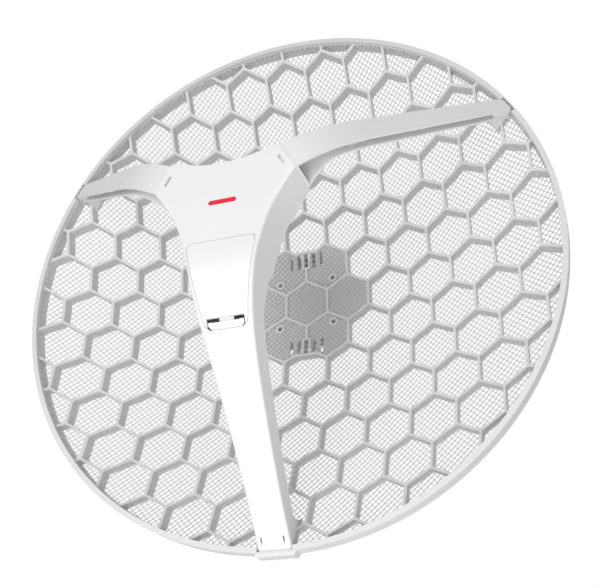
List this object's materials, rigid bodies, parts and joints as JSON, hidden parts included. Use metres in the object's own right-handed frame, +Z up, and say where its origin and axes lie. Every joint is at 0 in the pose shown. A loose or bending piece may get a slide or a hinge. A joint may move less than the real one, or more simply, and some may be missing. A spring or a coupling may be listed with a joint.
{
  "type": "parabolic grid antenna",
  "caption": "Round honeycomb grid dish with a wire mesh reflector, a white feed head on two arms and a leg, and a tilting mast clamp behind.",
  "frame": {"origin": "centre of the mast clamp, on the mast's axis", "axes": "+Z up along the mast, -Y forward along the beam, +X to the right seen from the front along +Y"},
  "size_m": [0.55, 0.3302, 0.553],
  "materials": {
    "grid_plastic": "light grey moulded plastic",
    "mesh_wire": "pale aluminium wire mesh",
    "white_plastic": "smooth white weatherproof plastic",
    "seal_rubber": "soft black sealing rubber",
    "stainless": "stainless steel",
    "board_green": "green solder mask over glass fibre",
    "tinned_steel": "bright tinned sheet",
    "black_plastic": "black moulded plastic",
    "gold_contact": "gold plated springs",
    "button_grey": "grey plastic",
    "led_lens": "clear resin",
    "feed_metal": "plain aluminium sheet",
    "feed_brass": "plain brass",
    "nylon": "natural nylon",
    "bracket_metal": "light grey powder coat",
    "saddle_alloy": "die-cast aluminium",
    "zinc_steel": "zinc plated steel"
  },
  "bodies": {
    "mast_mount": {"mast_saddle": "saddle_alloy", "tilt_bolts": "zinc_steel", "tilt_nuts": "zinc_steel", "tilt_washers": "zinc_steel", "clamp_bands": "stainless", "worm_housings": "stainless"},
    "antenna": {"dish_grid": "grid_plastic", "reflector_mesh": "mesh_wire", "left_arm": "white_plastic", "right_arm": "white_plastic", "head_shell": "white_plastic", "head_rear_cover": "white_plastic", "cover_gasket": "seal_rubber", "cover_screws": "stainless", "cable_grommet": "seal_rubber", "main_board": "board_green", "board_screws": "stainless", "rf_shield_can": "tinned_steel", "ethernet_jack": "black_plastic", "jack_contacts": "gold_contact", "network_transformer": "black_plastic", "reset_switch": "black_plastic", "status_leds": "led_lens", "feed_ground_plate": "feed_metal", "feed_patch": "feed_brass", "feed_spacers": "nylon", "feed_pins": "feed_brass", "tilt_bracket": "bracket_metal", "bracket_screws": "stainless"},
    "port_door": {"port_door": "white_plastic"},
    "door_latch": {"door_latch": "white_plastic"},
    "reset_button": {"reset_button": "button_grey"},
    "upper_worm": {"upper_worm_screw": "zinc_steel"},
    "lower_worm": {"lower_worm_screw": "zinc_steel"}
  },
  "joints": [
    {"name": "dish_tilt", "type": "hinge", "parent": "mast_mount", "child": "antenna", "pos_m": [0, -0.043, 0], "axis": [-1, 0, 0], "range_deg": [-12, 12]},
    {"name": "door_hinge", "type": "hinge", "parent": "antenna", "child": "port_door", "pos_m": [0, -0.294, -0.0795], "axis": [-1, 0, 0], "range_deg": [0, 75]},
    {"name": "latch_press", "type": "slide", "parent": "port_door", "child": "door_latch", "axis": [0, -0.4524, 0.8918], "range_m": [0, 0.002], "stiffness_N_per_m": 400, "springref_m": -0.001},
    {"name": "reset_press", "type": "slide", "parent": "antenna", "child": "reset_button", "axis": [0, 1, 0], "range_m": [0, 0.0006], "stiffness_N_per_m": 1500, "springref_m": -0.0006},
    {"name": "upper_worm_turn", "type": "hinge", "parent": "mast_mount", "child": "upper_worm", "pos_m": [0, 0.0312, 0.0165], "axis": [1, 0, 0], "continuous": true},
    {"name": "lower_worm_turn", "type": "hinge", "parent": "mast_mount", "child": "lower_worm", "pos_m": [0, 0.0312, -0.0165], "axis": [1, 0, 0], "continuous": true}
  ]
}
